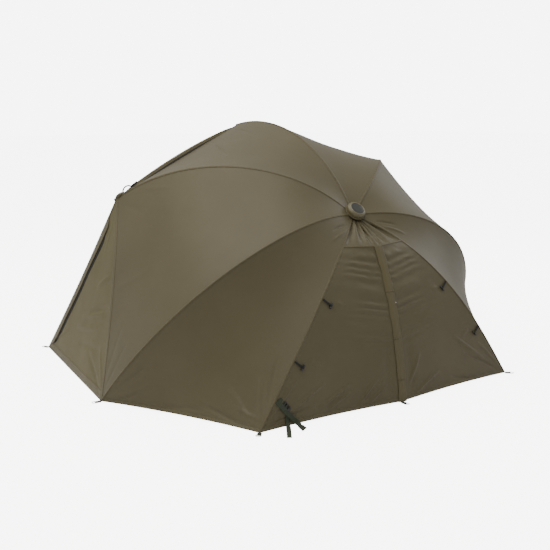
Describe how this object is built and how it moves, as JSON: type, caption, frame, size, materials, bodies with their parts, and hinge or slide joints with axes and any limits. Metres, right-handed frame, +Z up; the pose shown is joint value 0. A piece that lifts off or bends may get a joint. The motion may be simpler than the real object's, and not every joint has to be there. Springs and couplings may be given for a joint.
{
  "type": "fishing umbrella",
  "caption": "Oval fishing umbrella pitched on its rear ribs: olive cloth, tilted hub, storm sides, rear zip, peg rings, pole with spike, runner and folding ribs.",
  "frame": {"origin": "on the ground, under the middle of the bounding box", "axes": "+Z up, the open front faces -Y, +X is the left side as seen from behind the front opening looking out"},
  "size_m": [2.679, 2.291, 1.4624],
  "materials": {
    "canopy_cloth": "matt coated nylon",
    "trim_cloth": "matt coated nylon",
    "webbing": "woven",
    "black_plastic": "matt",
    "pole_metal": "anodised dark grey",
    "rib_finish": "satin black coating",
    "bright_steel": "polished plating"
  },
  "bodies": {
    "pole": {"upper_pole": "pole_metal", "hub_crown": "black_plastic", "hub_cap": "canopy_cloth", "clamp_collar": "black_plastic"},
    "lower_pole": {"lower_pole": "pole_metal"},
    "clamp_knob": {"clamp_knob": "black_plastic"},
    "runner": {"runner": "black_plastic"},
    "runner_catch": {"runner_catch": "black_plastic"},
    "front_rib": {"rib_front": "rib_finish", "tip_pocket_front": "trim_cloth"},
    "shoulder_rib_left": {"rib_shoulder_left": "rib_finish", "tip_pocket_shoulder_left": "trim_cloth", "front_panel_left": "canopy_cloth", "front_peak_left": "trim_cloth"},
    "side_rib_left": {"rib_side_left": "rib_finish", "side_panel_left": "canopy_cloth", "rear_side_panel_left": "canopy_cloth", "peg_tab_side_left": "webbing"},
    "storm_side_left": {"storm_side_left": "canopy_cloth", "peg_tab_storm_left": "webbing", "peg_ring_storm_left": "bright_steel"},
    "rear_rib_left": {"rib_rear_left": "rib_finish", "rear_panel_left": "canopy_cloth", "peg_tab_rear_left": "webbing", "zip_tape": "black_plastic", "zip_flap": "canopy_cloth", "tie_strap": "webbing", "strap_buckle": "black_plastic", "peg_tab_rear": "webbing", "peg_ring_rear": "bright_steel"},
    "ring_side_left": {"peg_ring_side_left": "bright_steel"},
    "ring_rear_left": {"peg_ring_rear_left": "bright_steel"},
    "toggle_upper_left": {"toggle_upper_left": "black_plastic"},
    "toggle_lower_left": {"toggle_lower_left": "black_plastic"},
    "shoulder_rib_right": {"rib_shoulder_right": "rib_finish", "tip_pocket_shoulder_right": "trim_cloth", "front_panel_right": "canopy_cloth", "front_peak_right": "trim_cloth"},
    "side_rib_right": {"rib_side_right": "rib_finish", "side_panel_right": "canopy_cloth", "rear_side_panel_right": "canopy_cloth", "peg_tab_side_right": "webbing"},
    "storm_side_right": {"storm_side_right": "canopy_cloth", "peg_tab_storm_right": "webbing", "peg_ring_storm_right": "bright_steel"},
    "rear_rib_right": {"rib_rear_right": "rib_finish", "rear_panel_right": "canopy_cloth", "peg_tab_rear_right": "webbing"},
    "ring_side_right": {"peg_ring_side_right": "bright_steel"},
    "ring_rear_right": {"peg_ring_rear_right": "bright_steel"},
    "toggle_upper_right": {"toggle_upper_right": "black_plastic"},
    "toggle_lower_right": {"toggle_lower_right": "black_plastic"},
    "zip_slider": {"zip_slider": "bright_steel"},
    "stretcher_front": {"stretcher_front": "pole_metal"},
    "stretcher_shoulder_left": {"stretcher_shoulder_left": "pole_metal"},
    "stretcher_side_left": {"stretcher_side_left": "pole_metal"},
    "stretcher_rear_left": {"stretcher_rear_left": "pole_metal"},
    "stretcher_shoulder_right": {"stretcher_shoulder_right": "pole_metal"},
    "stretcher_side_right": {"stretcher_side_right": "pole_metal"},
    "stretcher_rear_right": {"stretcher_rear_right": "pole_metal"}
  },
  "joints": [
    {"name": "front_rib_fold", "type": "hinge", "parent": "pole", "child": "front_rib", "pos_m": [0, 0.64256, 0.97667], "axis": [1, 0, 0], "range_deg": [0, 68.52]},
    {"name": "shoulder_left_rib_fold", "type": "hinge", "parent": "pole", "child": "shoulder_rib_left", "pos_m": [0.02288, 0.65035, 0.96948], "axis": [0.6468, 0.5605, -0.5172], "range_deg": [0, 57.68], "deforming": ["front_panel_left", "front_peak_left"]},
    {"name": "side_left_rib_fold", "type": "hinge", "parent": "pole", "child": "side_rib_left", "pos_m": [0.0294, 0.669, 0.95227], "axis": [-0.1994, 0.7202, -0.6645], "range_deg": [0, 47.34], "deforming": ["side_panel_left", "rear_side_panel_left"]},
    {"name": "rear_left_rib_fold", "type": "hinge", "parent": "pole", "child": "rear_rib_left", "pos_m": [0.02076, 0.68052, 0.94164], "axis": [-0.7218, 0.5087, -0.4694], "range_deg": [0, 59.74], "deforming": ["rear_panel_left", "zip_tape", "zip_flap", "tie_strap"]},
    {"name": "shoulder_right_rib_fold", "type": "hinge", "parent": "pole", "child": "shoulder_rib_right", "pos_m": [-0.02288, 0.65035, 0.96948], "axis": [0.6468, -0.5605, 0.5172], "range_deg": [0, 57.68], "deforming": ["front_panel_right", "front_peak_right"]},
    {"name": "side_right_rib_fold", "type": "hinge", "parent": "pole", "child": "side_rib_right", "pos_m": [-0.0294, 0.669, 0.95227], "axis": [-0.1994, -0.7202, 0.6645], "range_deg": [0, 47.35], "deforming": ["side_panel_right", "rear_side_panel_right"]},
    {"name": "rear_right_rib_fold", "type": "hinge", "parent": "pole", "child": "rear_rib_right", "pos_m": [-0.02076, 0.68052, 0.94164], "axis": [-0.7218, -0.5087, 0.4694], "range_deg": [0, 59.74], "deforming": ["rear_panel_right"]},
    {"name": "front_stretcher_turn", "type": "hinge", "parent": "front_rib", "child": "stretcher_front", "pos_m": [0, 0.40721, 1.21606], "axis": [-1, 0, 0], "range_deg": [0, 100.23]},
    {"name": "shoulder_left_stretcher_turn", "type": "hinge", "parent": "shoulder_rib_left", "child": "stretcher_shoulder_left", "pos_m": [0.30816, 0.49007, 1.15254], "axis": [-0.6468, -0.5605, 0.5172], "range_deg": [0, 81.95]},
    {"name": "side_left_stretcher_turn", "type": "hinge", "parent": "side_rib_left", "child": "stretcher_side_left", "pos_m": [0.45024, 0.74111, 0.90415], "axis": [0.1994, -0.7202, 0.6645], "range_deg": [0, 68.41]},
    {"name": "rear_left_stretcher_turn", "type": "hinge", "parent": "rear_rib_left", "child": "stretcher_rear_left", "pos_m": [0.26855, 0.85626, 0.75108], "axis": [0.7218, -0.5087, 0.4694], "range_deg": [0, 93.54]},
    {"name": "shoulder_right_stretcher_turn", "type": "hinge", "parent": "shoulder_rib_right", "child": "stretcher_shoulder_right", "pos_m": [-0.30816, 0.49007, 1.15254], "axis": [-0.6468, 0.5605, -0.5172], "range_deg": [0, 81.95]},
    {"name": "side_right_stretcher_turn", "type": "hinge", "parent": "side_rib_right", "child": "stretcher_side_right", "pos_m": [-0.45024, 0.74111, 0.90415], "axis": [0.1994, 0.7202, -0.6645], "range_deg": [0, 68.41]},
    {"name": "rear_right_stretcher_turn", "type": "hinge", "parent": "rear_rib_right", "child": "stretcher_rear_right", "pos_m": [-0.26855, 0.85626, 0.75108], "axis": [0.7218, 0.5087, -0.4694], "range_deg": [0, 93.54]},
    {"name": "runner_slide", "type": "slide", "parent": "pole", "child": "runner", "axis": [0, -0.6782, -0.7349], "range_m": [0, 0.4545]},
    {"name": "storm_side_left_swing", "type": "hinge", "parent": "side_rib_left", "child": "storm_side_left", "pos_m": [1.28869, 0.14167, 0.003], "axis": [0.3024, 0.4021, -0.8642], "range_deg": [0, 149], "deforming": ["storm_side_left"]},
    {"name": "storm_side_right_swing", "type": "hinge", "parent": "side_rib_right", "child": "storm_side_right", "pos_m": [-1.28869, 0.14167, 0.003], "axis": [0.3024, -0.4021, 0.8642], "range_deg": [0, 138], "deforming": ["storm_side_right"]},
    {"name": "lower_pole_slide", "type": "slide", "parent": "pole", "child": "lower_pole", "axis": [0, 0.6782, 0.7349], "range_m": [0, 0.3]},
    {"name": "clamp_knob_turn", "type": "hinge", "parent": "pole", "child": "clamp_knob", "pos_m": [0, 0.08275, 0.32577], "axis": [0, 0.7349, -0.6782], "range_deg": [0, 180]},
    {"name": "runner_catch_press", "type": "hinge", "parent": "runner", "child": "runner_catch", "pos_m": [0, 0.47824, 0.71601], "axis": [1, 0, 0], "range_deg": [-8, 0], "stiffness_Nm_per_rad": 0.05},
    {"name": "zip_slider_run", "type": "hinge", "parent": "rear_rib_left", "child": "zip_slider", "pos_m": [0, -1.10359, -0.15183], "axis": [1, 0, 0], "range_deg": [-13.16, 7.69]},
    {"name": "toggle_upper_left_swing", "type": "hinge", "parent": "rear_rib_left", "child": "toggle_upper_left", "pos_m": [0.43525, 0.96156, 0.58524], "axis": [0.0146, 0.9467, 0.3219], "range_deg": [-25, 25]},
    {"name": "toggle_lower_left_swing", "type": "hinge", "parent": "rear_rib_left", "child": "toggle_lower_left", "pos_m": [0.65391, 1.0183, 0.31026], "axis": [0.0464, 0.9867, 0.1558], "range_deg": [-25, 25]},
    {"name": "toggle_upper_right_swing", "type": "hinge", "parent": "rear_rib_right", "child": "toggle_upper_right", "pos_m": [-0.43525, 0.96156, 0.58524], "axis": [-0.0146, 0.9467, 0.3219], "range_deg": [-25, 25]},
    {"name": "toggle_lower_right_swing", "type": "hinge", "parent": "rear_rib_right", "child": "toggle_lower_right", "pos_m": [-0.65391, 1.0183, 0.31026], "axis": [-0.0464, 0.9867, 0.1558], "range_deg": [-25, 25]},
    {"name": "ring_side_left_lift", "type": "hinge", "parent": "side_rib_left", "child": "ring_side_left", "pos_m": [1.31899, 0.14167, 0.0026], "axis": [0, -1, 0], "range_deg": [0, 80]},
    {"name": "ring_rear_left_lift", "type": "hinge", "parent": "rear_rib_left", "child": "ring_rear_left", "pos_m": [0.90344, 1.05785, 0.0026], "axis": [0.7071, -0.7071, 0], "range_deg": [0, 80]},
    {"name": "ring_side_right_lift", "type": "hinge", "parent": "side_rib_right", "child": "ring_side_right", "pos_m": [-1.31899, 0.14167, 0.0026], "axis": [0, 1, 0], "range_deg": [0, 80]},
    {"name": "ring_rear_right_lift", "type": "hinge", "parent": "rear_rib_right", "child": "ring_rear_right", "pos_m": [-0.90344, 1.05785, 0.0026], "axis": [0.7071, 0.7071, 0], "range_deg": [0, 80]}
  ],
  "couplings": [
    {"joint": "front_rib_fold", "follows": "side_left_rib_fold", "ratio": 1.4474},
    {"joint": "shoulder_left_rib_fold", "follows": "side_left_rib_fold", "ratio": 1.2184},
    {"joint": "rear_left_rib_fold", "follows": "side_left_rib_fold", "ratio": 1.2619},
    {"joint": "shoulder_right_rib_fold", "follows": "side_left_rib_fold", "ratio": 1.2184},
    {"joint": "side_right_rib_fold", "follows": "side_left_rib_fold", "ratio": 1.0002},
    {"joint": "rear_right_rib_fold", "follows": "side_left_rib_fold", "ratio": 1.2619},
    {"joint": "front_stretcher_turn", "follows": "side_left_rib_fold", "ratio": 2.1172},
    {"joint": "shoulder_left_stretcher_turn", "follows": "side_left_rib_fold", "ratio": 1.7311},
    {"joint": "side_left_stretcher_turn", "follows": "side_left_rib_fold", "ratio": 1.4451},
    {"joint": "rear_left_stretcher_turn", "follows": "side_left_rib_fold", "ratio": 1.9759},
    {"joint": "shoulder_right_stretcher_turn", "follows": "side_left_rib_fold", "ratio": 1.7311},
    {"joint": "side_right_stretcher_turn", "follows": "side_left_rib_fold", "ratio": 1.4451},
    {"joint": "rear_right_stretcher_turn", "follows": "side_left_rib_fold", "ratio": 1.9759},
    {"joint": "runner_slide", "follows": "side_left_rib_fold", "m_per_rad": 0.55008},
    {"joint": "storm_side_left_swing", "follows": "side_left_rib_fold", "ratio": 3.1474},
    {"joint": "storm_side_right_swing", "follows": "side_left_rib_fold", "ratio": 2.9151}
  ]
}
